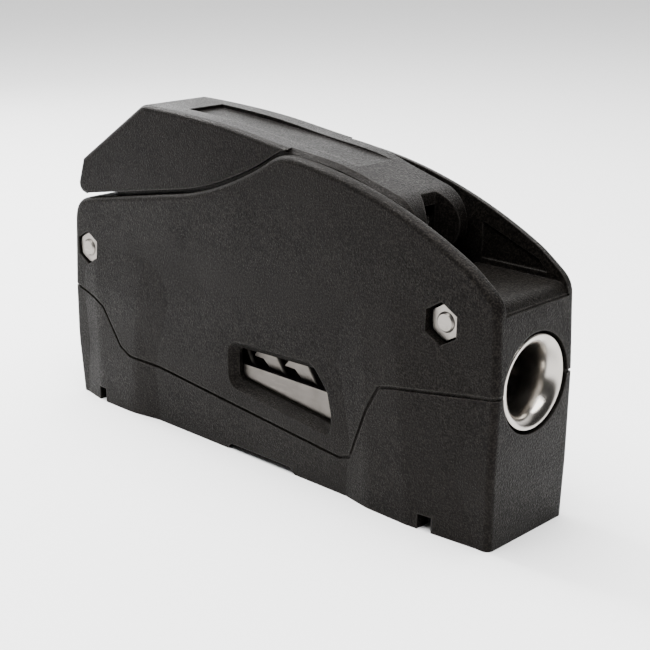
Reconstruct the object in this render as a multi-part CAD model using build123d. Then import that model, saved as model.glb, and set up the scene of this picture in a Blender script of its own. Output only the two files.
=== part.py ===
from build123d import *
import math
import os

# A single rope clutch: a line runs through two bell mouths and a row of leaning steel rings,
# which a lever clamps and releases.
# Frame: origin under the middle of the clutch on the deck face, +X towards the front bell
# mouth, +Z up.  Millimetres.  A "station" is a distance behind the frontmost point.

# ---- driving dimensions ---------------------------------------------------------------------
LENGTH = 159.8
NOSE = LENGTH / 2

DECK_HALF = 15.0            # half width on the deck
WAIST_Z = 16.0              # height where the flat sides are widest
WAIST_HALF = 15.5
CREST_Z = 88.0
CREST_HALF = 14.4
CREST_R = 1.8               # rounding along the top edges and the upright corners
INNER_HALF = 12.0           # half width between the side walls

FLOOR_TOP = 60.3            # trough floor behind the front lip
FLOOR_THICK = 3.0
FLOOR_END = 28.0            # station where the trough floor stops
FRONT_BLOCK = 23.0          # stations of the solid ends that hold the bell mouths
REAR_BLOCK = 142.0

ROPE_FRONT_Z = 38.8         # bell mouth centres
ROPE_REAR_Z = 34.0
THROAT_R = 7.6
TUBE_R = 9.2
MOUTH_R = 11.8
MOUTH_POCKET_R = 12.5

M5_FLATS = 8.0
M5_R = 2.5
FRONT_BOLT = (16.9, 52.9)   # station and height of the cross bolts
REAR_BOLT = (152.3, 46.5)
NUT_THICK = 4.0
HEAD_THICK = 3.5
FRONT_NUT_FACE = 13.0       # outer faces of the nuts from the middle plane
REAR_NUT_FACE = 14.3
FRONT_POCKET_FLATS = 9.2
REAR_POCKET_FLATS = 8.8

DECK_BOLT_STATIONS = (29.6, 139.6)
DECK_BOLT_HOLE_R = 3.3
DECK_NUT_FLATS = 10.0
DECK_NUT_THICK = 5.0
DECK_NUT_Z = 10.5
DECK_BOSS_R = 7.2

PIVOT = (38.0, 70.4)        # handle pivot: station, height
PIVOT_PIN_R = 2.5
NOSE_R = 9.13               # round nose of the handle about its pivot
CAP_R = 1.6                 # rounding along the handle's top edges
CAP_FRONT = 70.0            # station where the cap starts to overhang the side walls
TONGUE_CHAMFER = 1.2
HANDLE_OPEN = 110.0         # degrees

RING_COUNT = 5
RING_PITCH = 12.0
RING_FOOT = (57.1, 13.0)    # foot pin of the front ring
RING_LEAN = 34.5            # closed lean, tops to the rear
RING_LEAN_OPEN = 12.0
RING_LINK_R = 34.5          # foot pin to link rivet
RING_HOLE_UP = 23.4         # foot pin to rope hole centre
RING_HOLE_R = 6.5
RING_HALF = 9.4
RING_PIN_R = 1.5
RUNNING_FIT = 0.05

TOGGLE_AHEAD = 8.0          # toggle's lower pin from the front ring's link rivet
TOGGLE_ABOVE = 8.0
TOGGLE_PIN_R = 1.5
TOGGLE_TOP_PIN_R = 2.0
TOGGLE_HALF_THICK = 2.3
SLOT_HALF = 2.75            # slot in the handle that the toggle swings in

TRACK_HALF = 11.7
TRACK_SHEET = 1.0
TRACK_FLOOR = 8.0
TRACK_TOP = 24.9
TRACK_ENDS = (45.3, 131.0)

CASE_SCREWS = ((24.6, 20.0, 48.0), (134.4, 12.5, 38.0))   # station, head seat, top of boss
CASE_SCREW_Y = 9.1
CASE_SCREW_R = 1.75
CASE_SCREW_HEAD_R = 2.9


# ---- small helpers --------------------------------------------------------------------------
def x_at(station):
    return NOSE - station


def side_face(points):
    """Face in the XZ plane from (station, height) corners."""
    wire = Polyline([(x_at(s), 0, z) for s, z in points], close=True)
    return make_face(wire)


def across(face, half, start=None):
    """Extrude a side face across the clutch, both ways or from start to half."""
    if start is None:
        return extrude(face, amount=half, dir=(0, 1, 0), both=True)
    return extrude(face.moved(Location((0, start, 0))), amount=half - start, dir=(0, 1, 0))


def slab(s0, s1, y0, y1, z0, z1):
    size = (abs(s1 - s0), abs(y1 - y0), abs(z1 - z0))
    centre = ((x_at(s0) + x_at(s1)) / 2, (y0 + y1) / 2, (z0 + z1) / 2)
    return Pos(*centre) * Box(*size)


def cross_rod(station, z, radius, y0, y1):
    return Pos(x_at(station), (y0 + y1) / 2, z) * Rot(90, 0, 0) * Cylinder(radius, abs(y1 - y0))


def cross_hex(station, z, flats, y0, y1):
    """Hexagonal prism across the clutch with corners up and down."""
    outline = Plane.XZ * RegularPolygon(flats / math.sqrt(3), 6, rotation=30)
    prism = extrude(outline, amount=abs(y1 - y0), dir=(0, 1, 0))
    return Pos(x_at(station), min(y0, y1), z) * prism


def upright(station, y, radius, z0, z1):
    return Pos(x_at(station), y, (z0 + z1) / 2) * Cylinder(radius, z1 - z0)


def both_sides(shape):
    return shape + mirror(shape, about=Plane.XZ)


def swung(point, centre, degrees):
    """Side-view point turned about centre, positive lifting the rear end (about +Y)."""
    angle = math.radians(degrees)
    dx = centre[0] - point[0]
    dz = point[1] - centre[1]
    turned = dx * math.cos(angle) + dz * math.sin(angle)
    raised = -dx * math.sin(angle) + dz * math.cos(angle)
    return (centre[0] - turned, centre[1] + raised)


# ---- body outline ---------------------------------------------------------------------------
def body_outline():
    """Side outline of the moulded body: flat deck, humped top, rounded nose and tail."""
    slope_end = (x_at(110.8), 0, 69.0)
    crest = (x_at(66.8), 0, 85.0)
    brow = (x_at(10.8), 0, 68.2)
    chin = (x_at(0.6), 0, 57.5)
    tail_top = (x_at(150.8), 0, 62.0)
    tail_side = (x_at(158.7), 0, 54.0)
    lines = [
        Line((x_at(158.8), 0, 0), (x_at(159.8), 0, 20)),
        Line((x_at(159.8), 0, 20), (x_at(159.8), 0, 34)),
        Line((x_at(159.8), 0, 34), tail_side),
        Spline([tail_side, (x_at(156.3), 0, 59.9), tail_top], tangents=[(0.055, 0, 1), (1, 0, 0.175)]),
        Line(tail_top, slope_end),
        Spline(
            [slope_end, (x_at(90.8), 0, 74.8), (x_at(76.5), 0, 81.8), crest],
            tangents=[(40, 0, 7), (1, 0, -0.03)],
        ),
        ThreePointArc(crest, (x_at(36.8), 0, 79.2), brow),
        Spline([brow, (x_at(4.8), 0, 64.0), chin], tangents=[(1, 0, -0.56), (0.03, 0, -1)]),
        Line(chin, (x_at(0), 0, 38.5)),
        Line((x_at(0), 0, 38.5), (x_at(0.8), 0, 0)),
        Line((x_at(0.8), 0, 0), (x_at(158.8), 0, 0)),
    ]
    return make_face(Wire(lines))


def seam_region():
    """Everything below the seam between the base and the upper body."""
    seam = [
        (-3, 38.7), (0, 38.5), (30.8, 34), (34.8, 33), (38.8, 26), (44.8, 11.5), (48.8, 10.2),
        (118.8, 16.8), (132.8, 17.5), (136.8, 19.5), (144.8, 30), (148.8, 31.8), (159.8, 34.2),
        (163, 34.4),
    ]
    corners = [(-3, -5)] + seam + [(163, -5)]
    face = side_face(corners)
    inner = [v for v in face.vertices() if x_at(150) < v.X < x_at(20) and v.Z > 0]
    return fillet(inner, 1.6)


def pad(sections, inset):
    """Swelling on one side: a ruled loft of plan outlines, one per height."""
    faces = []
    for z, outline in sections:
        corners = [(x_at(s), inset - half) for s, half in outline]
        corners += [(x_at(outline[-1][0]), -9), (x_at(outline[0][0]), -9)]
        flat = make_face(Polyline([(x, y, z) for x, y in corners], close=True))
        inner = sorted(flat.vertices(), key=lambda v: v.Y)[:2]
        faces.append(fillet(inner, 22.0))
    return loft(faces, ruled=True)


def swellings(inset=0.0):
    """Swellings of both side walls at the deck bolts."""
    front_pad = pad([
        (0, [(3.6, 14.9), (24.5, 16.9), (38, 16.6), (46.5, 15.0)]),
        (36, [(3.6, 15.1), (28.5, 16.4), (40, 16.1), (50.5, 15.1)]),
        (52, [(5.0, 14.6), (31.5, 15.3), (42, 15.1), (52, 14.7)]),
        (64, [(9.5, 14.1), (33, 14.5), (43, 14.4), (53, 14.1)]),
    ], inset)
    rear_pad = pad([
        (0, [(121.5, 15.0), (131.6, 16.8), (147, 16.8), (156.4, 14.9)]),
        (36, [(114, 15.1), (128, 16.1), (148, 16.0), (157, 15.0)]),
        (52, [(108, 14.5), (125, 14.7), (148, 14.7), (157, 14.3)]),
    ], inset)
    return both_sides(front_pad) + both_sides(rear_pad)


def envelope():
    """Both mouldings in one, with rounded edges and the swellings at the deck bolts."""
    section = Polyline(
        [(0, -DECK_HALF, 0), (0, -WAIST_HALF, WAIST_Z), (0, -CREST_HALF, CREST_Z),
         (0, CREST_HALF, CREST_Z), (0, WAIST_HALF, WAIST_Z), (0, DECK_HALF, 0)],
        close=True,
    )
    flanks = extrude(make_face(section), amount=LENGTH, dir=(1, 0, 0), both=True)
    core = across(body_outline(), 20) & flanks
    rim = [
        e for e in core.edges()
        if abs(e.center().Y) > CREST_HALF - 1 and e.center().Z > 1
        and not (abs(e.center().Z - WAIST_Z) < 0.1 and e.length > 50)
    ]
    return fillet(rim, CREST_R) + swellings()


def region(*lines):
    """Flat face bounded by connected lines and arcs."""
    return make_face(Wire([edge for line in lines for edge in line.edges()]))


def mouth_shape(profile, rear):
    """Turned solid about a bell mouth's axis, from (depth behind the end face, radius) lines."""
    solid = revolve(profile, axis=Axis((0, 0, 0), (1, 0, 0)))
    if rear:
        return Pos(0, 0, ROPE_REAR_Z) * mirror(solid, about=Plane.YZ)
    return Pos(0, 0, ROPE_FRONT_Z) * solid


def mouth_seat(rear):
    """Space in the mouldings for one bell mouth, with a groove for its collar."""
    profile = [
        (-4, 0), (-4, MOUTH_POCKET_R), (2.2, MOUTH_POCKET_R), (4.5, 10.4), (7.5, 9.5),
        (9.0, TUBE_R), (13.1, TUBE_R), (13.1, 10.5), (14.9, 10.5), (14.9, TUBE_R),
        (24.0, TUBE_R), (24.0, 0),
    ]
    return mouth_shape(side_face(profile), rear)


def bell_mouth(rear):
    """Stainless bell mouth: rolled lip, flared throat, tube and retaining collar."""
    lip = 0.6
    tube_end = 18.5
    skin = TUBE_R - 0.1
    flare = Bezier(
        (x_at(lip), 0, 11.3), (x_at(0.9), 0, 9.0), (x_at(4.0), 0, THROAT_R), (x_at(9.0), 0, THROAT_R),
    )
    back = Bezier(
        (x_at(9.0), 0, skin), (x_at(5.5), 0, skin), (x_at(2.6), 0, 10.0), (x_at(1.9), 0, MOUTH_R),
    )
    rim = ThreePointArc((x_at(1.1), 0, MOUTH_R), (x_at(0.72), 0, 11.64), (x_at(lip), 0, 11.3))
    tube = Polyline([
        (x_at(9.0), 0, THROAT_R), (x_at(tube_end), 0, THROAT_R), (x_at(tube_end), 0, skin),
        (x_at(14.8), 0, skin), (x_at(14.8), 0, 10.4), (x_at(13.2), 0, 10.4), (x_at(13.2), 0, skin),
        (x_at(9.0), 0, skin),
    ])
    edge = Line((x_at(1.9), 0, MOUTH_R), (x_at(1.1), 0, MOUTH_R))
    return mouth_shape(region(flare, tube, back, edge, rim), rear)


# ---- mouldings ------------------------------------------------------------------------------
def seam_groove():
    """Shallow groove where the two mouldings meet, as the solid to cut away."""
    half_width = 0.45
    depth = 0.55
    seam = seam_region()
    band = across(offset(seam, half_width), 20) - across(offset(seam, -half_width), 20)
    side = WAIST_HALF - 0.2 - depth
    plan = RectangleRounded(LENGTH - 2 * depth, 2 * side, CREST_R - depth)
    return band - extrude(plan, amount=60) - swellings(depth)


def interior():
    """Space between the side walls, open at the top behind the trough floor."""
    under_floor = FLOOR_TOP - FLOOR_THICK
    outline = [
        (FRONT_BLOCK, 24), (38, 24), (38, TRACK_FLOOR), (131.7, TRACK_FLOOR), (131.7, 16.5),
        (REAR_BLOCK, 16.5), (REAR_BLOCK, 100), (FLOOR_END, 100), (FLOOR_END, under_floor),
        (FRONT_BLOCK, under_floor),
    ]
    return across(side_face(outline), INNER_HALF)


def trough():
    """Open trough over the front bell mouth, with a rounded lip and a ledge under it."""
    lip = [
        Line((x_at(30), 0, FLOOR_TOP), (x_at(4.2), 0, FLOOR_TOP)),
        ThreePointArc((x_at(4.2), 0, FLOOR_TOP), (x_at(2.1), 0, 59.5), (x_at(1.2), 0, 57.9)),
        Line((x_at(1.2), 0, 57.9), (x_at(-3), 0, 57.9)),
        Line((x_at(-3), 0, 57.9), (x_at(-3), 0, 100)),
        Line((x_at(-3), 0, 100), (x_at(30), 0, 100)),
        Line((x_at(30), 0, 100), (x_at(30), 0, FLOOR_TOP)),
    ]
    space = across(region(*lip), INNER_HALF)
    shadow_line = slab(-3, 1.0, -INNER_HALF - 0.3, INNER_HALF + 0.3, 57.3, 57.9)
    panel = side_face([(26.4, 61.8), (26.4, 71.0), (9.5, 64.6), (7.0, 61.8)])
    return space + shadow_line + across(panel, INNER_HALF + 0.4)


def window():
    """Inspection window in one side wall, with chamfered sides."""
    outline = side_face([(90.8, 32.4), (90.4, 18.9), (52.0, 14.7), (51.2, 20), (52.8, 27), (58.3, 33.4)])
    sides = outline.vertices().sort_by(Axis.X)
    outline = fillet(sides[:2], 4.2)
    outline = fillet(outline.vertices().sort_by(Axis.X)[4:], 1.8)
    chamfer_depth = 2.4
    rim = WAIST_HALF
    mouth = outline.moved(Location((0, -rim, 0)))
    throat = offset(outline, -chamfer_depth, kind=Kind.INTERSECTION)
    throat = throat.moved(Location((0, -rim + chamfer_depth, 0)))
    funnel = loft([mouth, throat], ruled=True)
    outer = extrude(mouth, amount=3, dir=(0, -1, 0))
    inner = extrude(throat, amount=4, dir=(0, 1, 0))
    return funnel + outer + inner


def underside():
    """Hollows, relief and slots cut into the deck face."""
    rim = 12.2
    cuts = slab(5, 36, -rim, rim, -1, 20)
    cuts += slab(41, 128, -rim, rim, -1, 3.6)
    cuts += slab(130.5, 154, -rim, rim, -1, 12.5)
    for station in DECK_BOLT_STATIONS:
        cuts -= upright(station, 0, DECK_BOSS_R, -1, 21)
    for station in (62, 80, 98, 116):
        cuts -= slab(station, station + 2, -rim, rim, -1, 6)
    relief = side_face([(92.6, -1), (92, 0), (90.2, 1.7), (67, 1.7), (65.2, 0), (64.6, -1)])
    cuts += across(relief, 20)
    cuts += slab(17.3, 21.4, -20, 20, -1, 4)
    cuts += slab(144.6, 147.8, -20, 20, -1, 4.2)
    return cuts


def bolt_passages():
    """Cross bolt holes with hexagonal pockets, deck bolt holes and case screw holes."""
    front_s, front_z = FRONT_BOLT
    rear_s, rear_z = REAR_BOLT
    cuts = cross_rod(front_s, front_z, M5_R, -20, 20)
    cuts += cross_rod(rear_s, rear_z, M5_R, -20, 20)
    cuts += both_sides(cross_hex(front_s, front_z, FRONT_POCKET_FLATS, -20, NUT_THICK - FRONT_NUT_FACE))
    cuts += both_sides(cross_hex(rear_s, rear_z, REAR_POCKET_FLATS, -20, NUT_THICK - REAR_NUT_FACE))
    for station in DECK_BOLT_STATIONS:
        nut = RegularPolygon(DECK_NUT_FLATS / math.sqrt(3) + 0.15, 6)
        cuts += upright(station, 0, DECK_BOLT_HOLE_R, -1, DECK_NUT_Z)
        cuts += Pos(x_at(station), 0, DECK_NUT_Z) * extrude(nut, amount=14)
    for station, seat, top in CASE_SCREWS:
        for y in (-CASE_SCREW_Y, CASE_SCREW_Y):
            cuts += upright(station, y, CASE_SCREW_R, seat - 1, top - 6)
    return cuts


def screw_bosses():
    bosses = []
    for station, seat, top in CASE_SCREWS:
        for side in (-1, 1):
            bosses.append(upright(station, side * CASE_SCREW_Y, 3.0, seat, top))
            bosses.append(slab(station - 1, station + 1, side * 11, side * 12.5, seat, top))
    return bosses


def mouldings():
    """Base and upper body, split at the seam."""
    body = envelope() - seam_groove()
    body -= interior()
    for boss in screw_bosses():
        body += boss
    body -= trough()
    body -= both_sides(window())
    body -= underside()
    body -= bolt_passages()
    body -= mouth_seat(rear=False)
    body -= mouth_seat(rear=True)
    socket_depth = 1.3
    body -= cross_rod(*PIVOT, PIVOT_PIN_R, -INNER_HALF - socket_depth, INNER_HALF + socket_depth)
    lower = across(seam_region(), 22)
    return body & lower, body - lower


# ---- fasteners and fixed metalwork ----------------------------------------------------------
def track():
    """Bent stainless channel that carries the ring pins and takes the rope's side load."""
    front, rear = TRACK_ENDS
    channel = slab(front, rear, -TRACK_HALF, TRACK_HALF, TRACK_FLOOR, TRACK_TOP)
    channel -= slab(
        front - 1, rear + 1, -TRACK_HALF + TRACK_SHEET, TRACK_HALF - TRACK_SHEET,
        TRACK_FLOOR + TRACK_SHEET, TRACK_TOP + 1,
    )
    bends = channel.edges().filter_by(Axis.X).filter_by(
        lambda e: abs(abs(e.center().Y) - TRACK_HALF) < 0.1 and e.center().Z < 9
    )
    channel = fillet(bends, 0.9)
    for index in range(RING_COUNT):
        channel -= cross_rod(ring_foot(index), RING_FOOT[1], RING_PIN_R, -20, 20)
    return channel


def hex_block(station, z, y_face, thickness):
    """Hexagon with its outer face's corners chamfered, its face towards -Y."""
    block = cross_hex(station, z, M5_FLATS, y_face, y_face + thickness)
    cone_r = M5_FLATS / math.sqrt(3) + 0.02
    dome = Pos(x_at(station), y_face + thickness / 2, z) * Rot(90, 0, 0) * Cylinder(cone_r, thickness)
    outer_rim = dome.edges().filter_by(GeomType.CIRCLE).sort_by(Axis.Y)[0]
    return block & chamfer(outer_rim, length=0.22, length2=0.42)


def hex_nut(station, z, face):
    nut = hex_block(station, z, -face, NUT_THICK)
    return nut - cross_rod(station, z, M5_R, -face - 1, NUT_THICK - face + 1)


def cross_bolt(station, z, nut_face):
    """Hexagon-headed bolt across the body, threaded end on the -Y side."""
    seat = nut_face - NUT_THICK
    head = mirror(hex_block(station, z, -seat - HEAD_THICK, HEAD_THICK), about=Plane.XZ)
    shank = cross_rod(station, z, M5_R, -nut_face - 0.6, seat)
    tip = shank.edges().filter_by(GeomType.CIRCLE).sort_by(Axis.Y)[0]
    return head + chamfer(tip, 0.45)


def deck_nuts():
    nuts = []
    for station in DECK_BOLT_STATIONS:
        body = extrude(RegularPolygon(DECK_NUT_FLATS / math.sqrt(3), 6), amount=DECK_NUT_THICK)
        body -= Pos(0, 0, DECK_NUT_THICK / 2) * Cylinder(2.5, DECK_NUT_THICK + 2)
        nuts.append(Pos(x_at(station), 0, DECK_NUT_Z) * body)
    return nuts


def case_screws():
    screws = []
    for station, seat, top in CASE_SCREWS:
        for y in (-CASE_SCREW_Y, CASE_SCREW_Y):
            head = upright(station, y, CASE_SCREW_HEAD_R, seat - 2.2, seat)
            rim = head.edges().filter_by(GeomType.CIRCLE).sort_by(Axis.Z)[0]
            head = fillet(rim, 1.0)
            head -= upright(station, y, 1.0, seat - 3, seat - 1.2)
            screws.append(head + upright(station, y, CASE_SCREW_R, seat - 0.5, top - 7))
    return screws


def pivot_pin():
    end = INNER_HALF + 1.3
    return cross_rod(*PIVOT, PIVOT_PIN_R, -end, end)


def pivot_bushes():
    sleeve = cross_rod(*PIVOT, 4.6, -INNER_HALF + 0.1, -10.6)
    return both_sides(sleeve - cross_rod(*PIVOT, PIVOT_PIN_R, -20, 20)).solids()


# ---- clamping rings and their links ---------------------------------------------------------
def ring_foot(index):
    """Station of a ring's foot pin."""
    return RING_FOOT[0] + RING_PITCH * index


def clamp_ring(index):
    """Bent steel ring: face plate with the rope hole, side flanges with a stop tooth."""
    face_x = 2.5
    plate = 1.5
    flange = [
        (face_x, 0), (face_x, 38), (-1.6, 38), (-3, 36.6), (-3, 23.4), (-4.0, 22.0),
        (-6.2, 21.4), (-3.1, 19.2), (-2.5, 17), (-2.5, 0),
    ]
    side = make_face(Polyline([(x, 0, z) for x, z in flange], close=True))
    foot = Pos(0, 0, 0) * Rot(90, 0, 0) * Cylinder(face_x, 2 * RING_HALF)
    solid = across(side, RING_HALF) + foot
    hollow = Pos(-20 + face_x - plate, 0, 20) * Box(40, 2 * RING_HALF - 2, 60)
    hollow += Pos(0, 0, 1) * Box(12, 2 * RING_HALF - 2, 8)
    solid -= hollow
    bends = [
        e for e in solid.edges()
        if abs(e.center().X - face_x) < 0.01 and abs(abs(e.center().Y) - RING_HALF) < 0.01
        and e.length > 20
    ]
    solid = fillet(bends, 0.9)
    hole = Pos(0, 0, RING_HOLE_UP) * Rot(0, 90, 0) * Cylinder(RING_HOLE_R, 12)
    solid -= hole
    rims = [
        e for e in solid.edges().filter_by(GeomType.CIRCLE)
        if abs(e.radius - RING_HOLE_R) < 0.01
    ]
    solid = fillet(rims, 0.5)
    for height in (0, RING_LINK_R):
        solid -= Pos(0, 0, height) * Rot(90, 0, 0) * Cylinder(RING_PIN_R + RUNNING_FIT, 30)
    return Pos(x_at(ring_foot(index)), 0, RING_FOOT[1]) * Rot(0, -RING_LEAN, 0) * solid


def ring_pins():
    return [
        cross_rod(ring_foot(i), RING_FOOT[1], RING_PIN_R, -TRACK_HALF, TRACK_HALF)
        for i in range(RING_COUNT)
    ]


def ring_link(index, lean=RING_LEAN):
    """Side-view place of a ring's link rivet at a given lean."""
    angle = math.radians(lean)
    return (
        ring_foot(index) + RING_LINK_R * math.sin(angle),
        RING_FOOT[1] + RING_LINK_R * math.cos(angle),
    )


def toggle_foot(lean=RING_LEAN):
    """Side-view place of the toggle's lower pin at a given lean of the rings."""
    station, z = ring_link(0, lean)
    return (station - TOGGLE_AHEAD, z + TOGGLE_ABOVE)


def toggle_top():
    """Top pin of the toggle, in line with the pivot when the handle is shut.

    The toggle then has the same length with the handle shut and fully open.
    """
    shut = toggle_foot()
    opened = toggle_foot(RING_LEAN_OPEN)
    shut_reach = math.dist(shut, PIVOT)
    open_reach = math.dist(opened, PIVOT)
    unit = ((shut[0] - PIVOT[0]) / shut_reach, (shut[1] - PIVOT[1]) / shut_reach)
    turned = swung((PIVOT[0] + unit[0], PIVOT[1] + unit[1]), PIVOT, HANDLE_OPEN)
    spread = (
        (turned[0] - PIVOT[0]) * (opened[0] - PIVOT[0])
        + (turned[1] - PIVOT[1]) * (opened[1] - PIVOT[1])
    )
    crank = (shut_reach ** 2 - open_reach ** 2) / (2 * (shut_reach - spread))
    return (PIVOT[0] + crank * unit[0], PIVOT[1] + crank * unit[1])


def strap(p, q, radius, y0, y1):
    """Flat bar with round ends between two side-view points."""
    (s0, z0), (s1, z1) = p, q
    length = math.dist(p, q)
    angle = math.degrees(math.atan2(z1 - z0, s1 - s0))
    middle = Pos((x_at(s0) + x_at(s1)) / 2, (y0 + y1) / 2, (z0 + z1) / 2)
    bar = middle * Rot(0, angle, 0) * Box(length, abs(y1 - y0), 2 * radius)
    return bar + cross_rod(s0, z0, radius, y0, y1) + cross_rod(s1, z1, radius, y0, y1)


def link_bar():
    """Side bar that ties the ring tops together; its front slot holds the toggle's pin."""
    inner = RING_HALF + 0.4
    outer = inner + 1.2
    front_pin = toggle_foot()
    slot_rear = (front_pin[0] + 3.8, front_pin[1])
    first = ring_link(0)
    last = ring_link(RING_COUNT - 1)
    bar = strap(first, last, 3.0, -outer, -inner)
    bar += strap(front_pin, slot_rear, 4.2, -outer, -inner)
    bar += strap(slot_rear, first, 3.0, -outer, -inner)
    bar -= strap(front_pin, slot_rear, TOGGLE_PIN_R + 0.75, -outer - 1, -inner + 1)
    for index in range(RING_COUNT):
        bar -= cross_rod(*ring_link(index), RING_PIN_R, -20, 0)
    return bar


def link_rivets():
    """Short rivets that join the bars to the rings, one each side of each ring."""
    rivets = []
    for index in range(RING_COUNT):
        station, z = ring_link(index)
        shank = cross_rod(station, z, RING_PIN_R, -RING_HALF - 1.9, -RING_HALF + 1.5)
        head = cross_rod(station, z, 2.4, -RING_HALF - 2.1, -RING_HALF - 1.6)
        rivets.append(shank + head)
        rivets.append(mirror(shank + head, about=Plane.XZ))
    return rivets


def toggle_link():
    top = toggle_top()
    foot = toggle_foot()
    link = strap(top, foot, 2.8, -TOGGLE_HALF_THICK, TOGGLE_HALF_THICK)
    link += cross_rod(*top, 3.7, -TOGGLE_HALF_THICK, TOGGLE_HALF_THICK)
    link += cross_rod(*foot, 3.4, -TOGGLE_HALF_THICK, TOGGLE_HALF_THICK)
    link -= cross_rod(*top, TOGGLE_TOP_PIN_R + RUNNING_FIT, -5, 5)
    return link - cross_rod(*foot, TOGGLE_PIN_R, -5, 5)


def toggle_foot_pin():
    return cross_rod(*toggle_foot(), TOGGLE_PIN_R, -11.4, 11.4)


def toggle_top_pin():
    return cross_rod(*toggle_top(), TOGGLE_TOP_PIN_R, -8.5, 8.5)


def return_spring():
    """Torsion spring round the front ring's foot pin, one leg on the track, one on the ring."""
    wire = 0.45
    coil_r = 2.35
    start = Pos(x_at(RING_FOOT[0]), -3.0, RING_FOOT[1]) * Rot(90, 0, 0)
    coil = Helix(pitch=1.1, height=4.4, radius=coil_r)
    section = Plane(origin=coil @ 0, z_dir=coil % 0) * Circle(wire)
    solid = sweep(section, path=coil, is_frenet=True)
    lower = Plane(origin=coil @ 0, z_dir=-(coil % 0)) * Circle(wire)
    upper = Plane(origin=coil @ 1, z_dir=coil % 1) * Circle(wire)
    return start * (solid + extrude(lower, 3.4) + extrude(upper, 6.5))


# ---- handle ---------------------------------------------------------------------------------
def handle_outline():
    """Side outline of the handle: sloped tail, long crowned top, round nose at the pivot."""
    pivot_s, pivot_z = PIVOT
    tail_low = (x_at(150.8), 0, 63.1)
    sole = (x_at(153.2), 0, 62.5)
    heel = (x_at(157.0), 0, 65.6)
    kink = (x_at(155.2), 0, 72.8)
    shoulder = (x_at(129.6), 0, 90.2)
    top = (x_at(127.0), 0, 91.1)
    brow = (x_at(50.8), 0, 83.5)
    nose_top = (x_at(pivot_s - 2.46), 0, pivot_z + 8.79)
    nose_front = (x_at(pivot_s - NOSE_R), 0, pivot_z)
    nose_low = (x_at(pivot_s), 0, pivot_z - NOSE_R)
    lines = [
        Line(tail_low, sole),
        ThreePointArc(sole, (x_at(156.1), 0, 63.2), heel),
        Line(heel, kink),
        Line(kink, shoulder),
        Spline([shoulder, top], tangents=[(256, 0, 174), (1, 0, -0.01)]),
        Spline(
            [top, (x_at(110.8), 0, 90.6), (x_at(90.8), 0, 89.1), (x_at(70.8), 0, 86.5), brow],
            tangents=[(1, 0, -0.01), (1, 0, -0.28)],
        ),
        Line(brow, nose_top),
        ThreePointArc(nose_top, nose_front, nose_low),
        Polyline([
            nose_low, (x_at(50), 0, nose_low[2]), (x_at(54), 0, 67), (x_at(95), 0, 67),
            (x_at(140.5), 0, 59.5), (x_at(149.4), 0, 59.5), tail_low,
        ]),
    ]
    return region(*lines)


def handle_ribs(outline, block):
    """Stiffening ribs on the handle's underside, standing back from its lower edge."""
    raised = outline.moved(Location((0, 0, 3.4)))
    ribs = across(raised, 0.9) & slab(57, 146, -1, 1, 55, 95)
    crossing = across(raised, 9.5)
    for station in (66, 81, 96, 111, 126, 141):
        ribs += crossing & slab(station, station + 1.8, -9.5, 9.5, 55, 95)
    return ribs & block


def handle():
    """Moulded lever: wide cap over the body, tongue between the side walls, split nose."""
    outline = handle_outline()
    block = across(outline, 20)
    gap = 1.2
    clear_of_body = across(body_outline().moved(Location((0, 0, gap))), 21)
    cap_section = Polyline(
        [(0, -14.6, 60), (0, -11.57, 95), (0, 11.57, 95), (0, 14.6, 60)],
        close=True,
    )
    cap = extrude(make_face(cap_section), amount=LENGTH, dir=(1, 0, 0), both=True)
    cap = block & ((cap & slab(CAP_FRONT, 160, -20, 20, 55, 100)) - clear_of_body)
    brim = [
        e for e in cap.edges()
        if 11.3 < abs(e.center().Y) < 14.33
        and abs(e.center().X - x_at(CAP_FRONT)) > 0.3
        and not (e.center().X > x_at(93) and e.center().Z < 78)
        and not (e.center().X > x_at(132) and e.center().Z < 70)
    ]
    cap = fillet(brim, CAP_R)
    plan = Polyline(
        [(x_at(141.5), -11.4, 55), (x_at(62), -11.4, 55), (x_at(48), -10.2, 55), (x_at(25), -10.2, 55),
         (x_at(25), 10.2, 55), (x_at(48), 10.2, 55), (x_at(62), 11.4, 55), (x_at(141.5), 11.4, 55)],
        close=True,
    )
    tongue = block & extrude(make_face(plan), amount=45, dir=(0, 0, 1))
    tongue_edges = [
        e for e in tongue.edges()
        if abs(e.center().Y) > 10 and (e.center().Z > 80 or e.center().X > x_at(30))
    ]
    tongue = chamfer(tongue_edges, TONGUE_CHAMFER)
    lever = cap + tongue
    hollow_line = outline.moved(Location((0, 0, -3)))
    hollow = across(hollow_line, 9.2) & slab(55, 150, -10, 10, 50, 95)
    hollow += slab(55, 150, -9.2, 9.2, 50, 74)
    tail_space = clear_of_body & slab(REAR_BLOCK - 0.6, 160, -21, 21, 40, 80)
    lever = (lever - hollow) + (handle_ribs(outline, block) - tail_space)
    notch = Polyline(
        [(x_at(34.1), -SLOT_HALF, 50), (x_at(24.1), -9.2, 50),
         (x_at(24.1), 9.2, 50), (x_at(34.1), SLOT_HALF, 50)],
        close=True,
    )
    lever -= extrude(make_face(notch), amount=50, dir=(0, 0, 1))
    lever -= slab(33, 56, -SLOT_HALF, SLOT_HALF, 50, 75.5)
    lever -= cross_rod(*PIVOT, PIVOT_PIN_R + RUNNING_FIT, -20, 20)
    lever -= cross_rod(*toggle_top(), TOGGLE_TOP_PIN_R, -8.5, 8.5)
    recess = region(
        ThreePointArc((x_at(114.6), 0, 89.8), (x_at(84), 0, 87.4), (x_at(50), 0, 83.4)),
        Polyline([(x_at(50), 0, 83.4), (x_at(50), 0, 99), (x_at(114.6), 0, 99), (x_at(114.6), 0, 89.8)]),
    )
    return lever - across(recess, 6.15)


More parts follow.
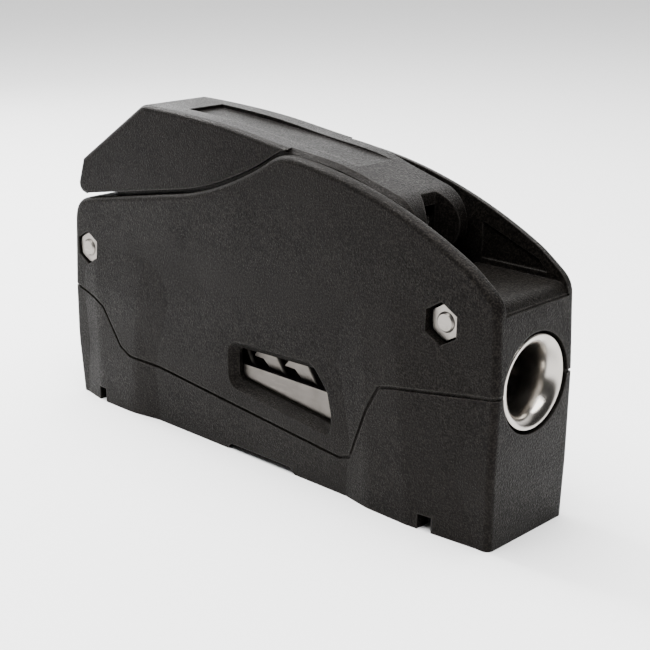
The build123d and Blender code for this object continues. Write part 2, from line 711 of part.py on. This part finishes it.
# ---- assembly -------------------------------------------------------------------------------
def assembly():
    base, upper = mouldings()
    bar = link_bar()
    parts = {
        "base_body": base,
        "upper_body": upper,
        "rope_track": track(),
        "front_bell_mouth": bell_mouth(rear=False),
        "rear_bell_mouth": bell_mouth(rear=True),
        "front_cross_bolt": cross_bolt(*FRONT_BOLT, FRONT_NUT_FACE),
        "rear_cross_bolt": cross_bolt(*REAR_BOLT, REAR_NUT_FACE),
        "front_cross_nut": hex_nut(*FRONT_BOLT, FRONT_NUT_FACE),
        "rear_cross_nut": hex_nut(*REAR_BOLT, REAR_NUT_FACE),
        "deck_nuts": deck_nuts(),
        "case_screws": case_screws(),
        "handle": handle(),
        "handle_pivot_pin": pivot_pin(),
        "pivot_bushes": pivot_bushes(),
        "toggle_link": toggle_link(),
        "toggle_top_pin": toggle_top_pin(),
        "toggle_foot_pin": toggle_foot_pin(),
        "link_bar_near": bar,
        "link_bar_far": mirror(bar, about=Plane.XZ),
        "link_rivets": link_rivets(),
        "ring_pins": ring_pins(),
        "return_spring": return_spring(),
    }
    for index in range(RING_COUNT):
        parts[f"clamp_ring_{index + 1}"] = clamp_ring(index)
    return parts


def write(parts):
    os.makedirs("parts", exist_ok=True)
    for name, shape in parts.items():
        solids = shape if isinstance(shape, (list, ShapeList)) else shape.solids()
        export_step(Compound(children=list(solids)), f"parts/{name}.step")


if __name__ == "__main__":
    write(assembly())
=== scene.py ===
import math

import bpy
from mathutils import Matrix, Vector


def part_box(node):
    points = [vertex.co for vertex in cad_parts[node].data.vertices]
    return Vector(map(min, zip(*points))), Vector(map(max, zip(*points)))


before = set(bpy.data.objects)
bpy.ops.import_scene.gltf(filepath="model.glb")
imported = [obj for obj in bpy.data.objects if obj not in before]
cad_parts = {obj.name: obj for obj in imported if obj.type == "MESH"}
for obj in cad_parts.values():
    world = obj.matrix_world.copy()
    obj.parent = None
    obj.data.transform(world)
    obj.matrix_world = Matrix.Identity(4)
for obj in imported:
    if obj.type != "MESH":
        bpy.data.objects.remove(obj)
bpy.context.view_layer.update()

# Rope clutch: materials, floor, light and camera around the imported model.  Metres.
MM = 0.001

# ---- camera: towards the front end and the near side, from above ----------------------------
LENS_MM = 75.27
SENSOR_MM = 36.0
NEAREST_SHOWN = 0.01
CAMERA_AT = Vector((251.38, -246.69, 148.45)) * MM
CAMERA_YAW = 0.771762          # radians, turned left of looking along +Y
CAMERA_PITCH = 0.311504        # radians, looking down

# ---- colours, linear ------------------------------------------------------------------------
HOUSING_BASE = (0.0024, 0.0021, 0.0018)
# edge colours of the plastic: rubbed wear and a painted highlight along outer edges
HOUSING_WORN_AND_HIGHLIGHT = (0.040, 0.037, 0.034)
LEVER_BASE = (0.0022, 0.0019, 0.0017)
LEVER_WORN_AND_HIGHLIGHT = (0.046, 0.043, 0.040)
POLISHED_STEEL = (0.43, 0.405, 0.372)
GROUND_STEEL = (0.56, 0.54, 0.51)
FASTENER_STEEL = (0.25, 0.232, 0.212)
ROLLED_STEEL = (0.105, 0.096, 0.087)
DRAWN_STEEL = (0.48, 0.46, 0.43)
NATURAL_ACETAL = (0.30, 0.29, 0.27)
FLOOR_GREY = (0.9, 0.9, 0.9)
WARM_GLOSS = (1.0, 0.93, 0.87, 1.0)      # tint of the black plastic's highlights

# ---- floor and light ------------------------------------------------------------------------
FLOOR_HALF = 3.0
BACKDROP_TOWARDS = (-0.664, 0.684, 0.30)   # brightest part of the room, behind the object
BACKDROP_FROM, BACKDROP_FULL = 0.30, 0.98  # cosine of the angle from there: dim, full
ROOM_DIM, ROOM_BRIGHT = 0.07, 4.3
# name: place, what it looks at, size, watts
LIGHTS = {
    "overhead": ((0.05, -0.10, 0.85), (0, 0, 0), (1.0, 0.8), 30),
    "left": ((-0.60, 0.10, 0.30), (0, 0, 0.05), (0.35, 0.4), 1.5),
    "rim": ((-0.50, -0.03, 0.55), (0, 0, 0.06), (0.18, 0.10), 7),
}


def add_camera():
    data = bpy.data.cameras.new("camera")
    data.lens = LENS_MM
    data.sensor_width = SENSOR_MM
    data.clip_start = NEAREST_SHOWN
    camera = bpy.data.objects.new("camera", data)
    bpy.context.scene.collection.objects.link(camera)
    forward = Vector((
        -math.sin(CAMERA_YAW) * math.cos(CAMERA_PITCH),
        math.cos(CAMERA_YAW) * math.cos(CAMERA_PITCH),
        -math.sin(CAMERA_PITCH),
    ))
    camera.rotation_euler = forward.to_track_quat("-Z", "Y").to_euler()
    camera.location = CAMERA_AT
    bpy.context.scene.camera = camera


# ---- material recipes -----------------------------------------------------------------------
def times(factor, colour):
    """The colour made lighter or darker, with full alpha."""
    return tuple(min(1.0, factor * c) for c in colour) + (1.0,)


class Recipe:
    """One material being built: adds nodes and feeds its principled shader."""

    def __init__(self, name, **uniform):
        self.material = bpy.data.materials.new(name)
        self.material.use_nodes = True
        self.tree = self.material.node_tree
        self.shader = self.tree.nodes["Principled BSDF"]
        self.place = self.node("ShaderNodeTexCoord").outputs["Object"]
        for socket, value in uniform.items():
            self.shader.inputs[socket.replace("_", " ")].default_value = value

    def node(self, kind, **settings):
        made = self.tree.nodes.new(kind)
        for name, value in settings.items():
            setattr(made, name, value)
        return made

    def feed(self, socket, source):
        """Join an output, or write a number, to an input."""
        if isinstance(source, (int, float, tuple)):
            socket.default_value = source
        else:
            self.tree.links.new(source, socket)

    def drive(self, socket, source):
        self.tree.links.new(source, self.shader.inputs[socket])

    def maths(self, operation, *values):
        made = self.node("ShaderNodeMath", operation=operation)
        for socket, value in zip(made.inputs, values):
            self.feed(socket, value)
        return made.outputs["Value"]

    def span(self, value, low, high, out_low, out_high):
        """Value from low..high to out_low..out_high, clamped."""
        made = self.node("ShaderNodeMapRange", clamp=True)
        for socket, number in zip(made.inputs, (value, low, high, out_low, out_high)):
            self.feed(socket, number)
        return made.outputs["Result"]

    def mix(self, share, first, second):
        made = self.node("ShaderNodeMix", data_type="RGBA")
        self.feed(made.inputs["Factor"], share)
        for socket, colour in ((made.inputs[6], first), (made.inputs[7], second)):
            self.feed(socket, colour)
        return made.outputs[2]

    def stretched(self, x, y, z):
        """Object coordinates scaled by one factor per axis."""
        made = self.node("ShaderNodeMapping")
        made.inputs["Scale"].default_value = (x, y, z)
        self.feed(made.inputs["Vector"], self.place)
        return made.outputs["Vector"]

    def noise(self, scale, detail=3.0, roughness=0.55, at=None):
        made = self.node("ShaderNodeTexNoise")
        self.feed(made.inputs["Vector"], at or self.place)
        made.inputs["Scale"].default_value = scale
        made.inputs["Detail"].default_value = detail
        made.inputs["Roughness"].default_value = roughness
        return made.outputs["Fac"]

    def cells(self, scale, at=None):
        made = self.node("ShaderNodeTexVoronoi")
        self.feed(made.inputs["Vector"], at or self.place)
        made.inputs["Scale"].default_value = scale
        return made.outputs["Distance"]

    def axis_distance(self, centre, across):
        """Distance from a turned piece's axis; across names the two axes square to it."""
        made = self.node("ShaderNodeSeparateXYZ")
        self.feed(made.inputs["Vector"], self.place)
        squares = []
        for axis in across:
            offset = self.maths("SUBTRACT", made.outputs[axis], centre["XYZ".index(axis)])
            squares.append(self.maths("MULTIPLY", offset, offset))
        return self.maths("SQRT", self.maths("ADD", squares[0], squares[1]))

    def edge_wear_and_highlight(self, radius, ragged):
        """1 along outer edges, broken up by a noise, and 0 on flats and in corners: the mask for
        rubbed wear and a painted edge highlight.
        """
        bevel = self.node("ShaderNodeBevel", samples=6)
        bevel.inputs["Radius"].default_value = radius
        geometry = self.node("ShaderNodeNewGeometry")
        dot = self.node("ShaderNodeVectorMath", operation="DOT_PRODUCT")
        self.feed(dot.inputs[0], bevel.outputs["Normal"])
        self.feed(dot.inputs[1], geometry.outputs["Normal"])
        turned = self.span(dot.outputs["Value"], 0.995, 0.90, 0.0, 1.0)
        return self.maths("MULTIPLY", turned, self.maths("MULTIPLY", self.open_air(), ragged))

    def open_air(self):
        """1 on open faces and outer edges, falling to 0 in corners and slots."""
        shade = self.node("ShaderNodeAmbientOcclusion", samples=6, only_local=True)
        shade.inputs["Distance"].default_value = 2.0 * MM
        return self.span(shade.outputs["AO"], 0.45, 0.9, 0.0, 1.0)

    def rounded_normal(self, radius):
        bevel = self.node("ShaderNodeBevel", samples=6)
        bevel.inputs["Radius"].default_value = radius
        return bevel.outputs["Normal"]

    def bump(self, height, distance, strength=1.0, under=None):
        made = self.node("ShaderNodeBump")
        made.inputs["Strength"].default_value = strength
        made.inputs["Distance"].default_value = distance
        self.feed(made.inputs["Height"], height)
        if under is not None:
            self.feed(made.inputs["Normal"], under)
        return made.outputs["Normal"]


def moulded(name, base, worn_and_highlight, gloss, wear_and_highlight_share, handled=0.0):
    """Glass-filled nylon with a spark-eroded grain, paler along outer edges: partly rubbed wear,
    partly a painted highlight.
    """
    recipe = Recipe(name, Specular_IOR_Level=0.06, Specular_Tint=WARM_GLOSS)
    grain = recipe.noise(2200.0, detail=1.5, roughness=0.6)
    tooth = recipe.noise(3200.0, detail=1.0)
    pits = recipe.cells(2300.0)
    cloud = recipe.noise(38.0, detail=3.0)
    streak = recipe.noise(90.0, detail=2.0, at=recipe.stretched(0.25, 1.0, 1.0))
    ragged = recipe.span(recipe.noise(420.0, detail=3.0), 0.35, 0.65, 0.35, 1.0)
    edges = recipe.edge_wear_and_highlight(0.55 * MM, ragged)

    dark = times(0.3, base)
    pale = times(3.8, base)
    speckled = recipe.mix(recipe.span(grain, 0.46, 0.62, 0.0, 1.0), dark, pale)
    fibre = recipe.span(pits, 0.02, 0.16, 0.5, 0.0)
    fibred = recipe.mix(fibre, speckled, times(9.0, base))
    clouded = recipe.mix(recipe.span(cloud, 0.35, 0.7, 0.0, 0.2), fibred, pale)
    # outer edges painted paler: partly rubbed wear, partly a painted highlight
    share = recipe.maths("MULTIPLY", edges, wear_and_highlight_share)
    recipe.drive("Base Color", recipe.mix(share, clouded, times(1.0, worn_and_highlight)))

    rough = recipe.span(grain, 0.3, 0.7, gloss + 0.14, gloss - 0.08)
    rough = recipe.maths("ADD", rough, recipe.span(cloud, 0.35, 0.7, 0.04, -0.05 - handled))
    rough = recipe.maths("ADD", rough, recipe.span(streak, 0.4, 0.7, 0.02, -0.02))
    rubbed = recipe.maths("MULTIPLY", edges, 0.1)
    recipe.drive("Roughness", recipe.maths("SUBTRACT", rough, rubbed))

    height = recipe.maths("ADD", tooth, recipe.maths("MULTIPLY", pits, 0.5))
    recipe.drive("Normal", recipe.bump(height, 0.13 * MM, 1.0, recipe.rounded_normal(0.35 * MM)))
    return recipe.material


def turned_steel(name, base, rough, axis, centre, groove):
    """Turned and polished stainless: fine rings about the axis, a few handling marks."""
    recipe = Recipe(name, Metallic=1.0)
    across = tuple(a for a in "XYZ" if a != axis)
    split = recipe.node("ShaderNodeSeparateXYZ")
    recipe.feed(split.inputs["Vector"], recipe.place)
    line = recipe.node("ShaderNodeCombineXYZ")
    recipe.feed(line.inputs["X"], recipe.axis_distance(centre, across))
    recipe.feed(line.inputs["Y"], split.outputs[axis])
    rings = recipe.noise(2600.0, detail=3.0, roughness=0.7, at=line.outputs["Vector"])
    haze = recipe.noise(120.0, detail=3.0)
    nicks = recipe.cells(260.0, at=recipe.stretched(1.0, 0.4, 1.0))
    dull = times(0.78, base)
    tint = recipe.mix(recipe.span(haze, 0.35, 0.7, 0.0, 1.0), times(1.0, base), dull)
    recipe.drive("Base Color", recipe.mix(recipe.span(rings, 0.4, 0.7, 0.0, 0.25), tint, dull))
    shine = recipe.span(rings, 0.3, 0.7, rough - 0.02, rough + 0.03)
    smeared = recipe.span(haze, 0.4, 0.7, -0.02, 0.06)
    recipe.drive("Roughness", recipe.maths("ADD", shine, smeared))
    height = recipe.maths("ADD", rings, recipe.span(nicks, 0.0, 0.05, -0.6, 0.0))
    recipe.drive("Normal", recipe.bump(height, groove, 0.5, recipe.rounded_normal(0.12 * MM)))
    return recipe.material


def tumbled_steel(name, base, rough, grain_scale, stretch=(1.0, 1.0, 1.0), depth=0.02):
    """Satin stainless: tumbled or rolled surface with scratches, and edges painted brighter:
    partly rubbed wear, partly a painted glint.
    """
    recipe = Recipe(name, Metallic=1.0)
    grain = recipe.noise(grain_scale, detail=4.0, roughness=0.65, at=recipe.stretched(*stretch))
    haze = recipe.noise(180.0, detail=3.0)
    scratch = recipe.noise(900.0, detail=2.0, at=recipe.stretched(0.12, 1.0, 0.7))
    ragged = recipe.span(recipe.noise(700.0), 0.35, 0.65, 0.5, 1.0)
    edges = recipe.edge_wear_and_highlight(0.22 * MM, ragged)
    dull = times(0.7, base)
    bright = times(1.35, base)
    tint = recipe.mix(recipe.span(haze, 0.35, 0.7, 0.0, 0.7), times(1.0, base), dull)
    tint = recipe.mix(recipe.span(scratch, 0.62, 0.75, 0.0, 0.6), tint, bright)
    # edges painted brighter: partly rubbed wear, partly a painted glint on the chamfers
    recipe.drive("Base Color", recipe.mix(recipe.maths("MULTIPLY", edges, 0.8), tint, bright))
    shine = recipe.span(grain, 0.3, 0.7, rough - 0.07, rough + 0.08)
    rubbed = recipe.maths("MULTIPLY", edges, 0.1)
    recipe.drive("Roughness", recipe.maths("SUBTRACT", shine, rubbed))
    height = recipe.maths("ADD", grain, recipe.maths("MULTIPLY", scratch, -0.5))
    rounded = recipe.rounded_normal(0.15 * MM)
    recipe.drive("Normal", recipe.bump(height, depth * MM, 0.5, rounded))
    return recipe.material


def acetal(name, base):
    """Bush of natural acetal: waxy, faint turning marks, greyed where it rubs."""
    recipe = Recipe(name, Specular_IOR_Level=0.5, Subsurface_Weight=0.05)
    cloud = recipe.noise(300.0, detail=3.0)
    grain = recipe.noise(2200.0, detail=2.0, at=recipe.stretched(1.0, 3.0, 1.0))
    rubbed = recipe.span(cloud, 0.35, 0.7, 0.0, 1.0)
    recipe.drive("Base Color", recipe.mix(rubbed, times(1.0, base), times(0.7, base)))
    recipe.drive("Roughness", recipe.span(grain, 0.3, 0.7, 0.32, 0.5))
    recipe.drive("Normal", recipe.bump(grain, 0.02 * MM, 0.5, recipe.rounded_normal(0.2 * MM)))
    return recipe.material


# ---- which node gets which ------------------------------------------------------------------
def centre_of(node):
    low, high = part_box(node)
    return (low + high) / 2


def dress():
    """Give every CAD node its material."""
    housing = moulded("housing", HOUSING_BASE, HOUSING_WORN_AND_HIGHLIGHT, gloss=0.43, wear_and_highlight_share=0.6)
    lever = moulded("lever", LEVER_BASE, LEVER_WORN_AND_HIGHLIGHT, gloss=0.41, wear_and_highlight_share=0.7, handled=0.03)
    looks = {
        "base_body": housing,
        "upper_body": housing,
        "handle": lever,
        "pivot_bushes": acetal("bush", NATURAL_ACETAL),
    }
    for node in ("front_bell_mouth", "rear_bell_mouth"):
        looks[node] = turned_steel(
            node + "_polish", POLISHED_STEEL, 0.20, "X", centre_of(node), groove=0.001 * MM)
    for node in ("handle_pivot_pin", "toggle_top_pin", "toggle_foot_pin"):
        looks[node] = turned_steel(
            node + "_ground", GROUND_STEEL, 0.26, "Y", centre_of(node), groove=0.01 * MM)

    fastener = tumbled_steel("fastener", FASTENER_STEEL, 0.38, 2400.0, depth=0.03)
    rolled = tumbled_steel("rolled_sheet", ROLLED_STEEL, 0.36, 1500.0, (0.08, 1.0, 1.0))
    wire = tumbled_steel("drawn_wire", DRAWN_STEEL, 0.28, 3000.0, (1.0, 0.2, 1.0))
    ground = tumbled_steel("ground_pin", GROUND_STEEL, 0.26, 2600.0, (1.0, 3.0, 1.0), 0.012)
    for node in ("front_cross_bolt", "rear_cross_bolt", "front_cross_nut", "rear_cross_nut",
                 "deck_nuts", "case_screws"):
        looks[node] = fastener
    looks["return_spring"] = wire
    looks["link_rivets"] = looks["ring_pins"] = ground

    # what is left is bent sheet: track, rings, link bars and toggle link
    for node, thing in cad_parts.items():
        material = looks.get(node, rolled)
        if not thing.material_slots:
            thing.data.materials.append(material)
        for mesh_slot in thing.material_slots:
            mesh_slot.material = material


# ---- room -----------------------------------------------------------------------------------
def add_floor():
    mesh = bpy.data.meshes.new("floor")
    half = FLOOR_HALF
    corners = [(-half, -half, 0), (half, -half, 0), (half, half, 0), (-half, half, 0)]
    mesh.from_pydata(corners, [], [(0, 1, 2, 3)])
    floor = bpy.data.objects.new("floor", mesh)
    bpy.context.scene.collection.objects.link(floor)
    material = bpy.data.materials.new("floor_paper")
    material.use_nodes = True
    shader = material.node_tree.nodes["Principled BSDF"]
    shader.inputs["Base Color"].default_value = times(1.0, FLOOR_GREY)
    shader.inputs["Roughness"].default_value = 0.9
    shader.inputs["Specular IOR Level"].default_value = 0.1
    mesh.materials.append(material)


def area_light(name, place, target, size, watts):
    data = bpy.data.lights.new(name, "AREA")
    data.shape = "RECTANGLE"
    data.size = size[0]
    data.size_y = size[1]
    data.energy = watts
    light = bpy.data.objects.new(name, data)
    bpy.context.scene.collection.objects.link(light)
    light.location = place
    direction = Vector(target) - Vector(place)
    light.rotation_euler = direction.to_track_quat("-Z", "Y").to_euler()


def add_studio():
    """White room, brighter behind the object than in front of it."""
    world = bpy.data.worlds.new("studio")
    bpy.context.scene.world = world
    world.use_nodes = True
    tree = world.node_tree
    background = tree.nodes["Background"]
    background.inputs["Color"].default_value = (1, 1, 1, 1)
    coords = tree.nodes.new("ShaderNodeTexCoord")
    facing = tree.nodes.new("ShaderNodeVectorMath")
    facing.operation = "DOT_PRODUCT"
    facing.inputs[1].default_value = BACKDROP_TOWARDS
    tree.links.new(coords.outputs["Generated"], facing.inputs[0])
    level = tree.nodes.new("ShaderNodeMapRange")
    level.inputs["From Min"].default_value = BACKDROP_FROM
    level.inputs["From Max"].default_value = BACKDROP_FULL
    level.inputs["To Min"].default_value = ROOM_DIM
    level.inputs["To Max"].default_value = ROOM_BRIGHT
    tree.links.new(facing.outputs["Value"], level.inputs["Value"])
    tree.links.new(level.outputs["Result"], background.inputs["Strength"])


add_camera()
dress()
add_floor()
add_studio()
for light_name, light in LIGHTS.items():
    area_light(light_name, *light)
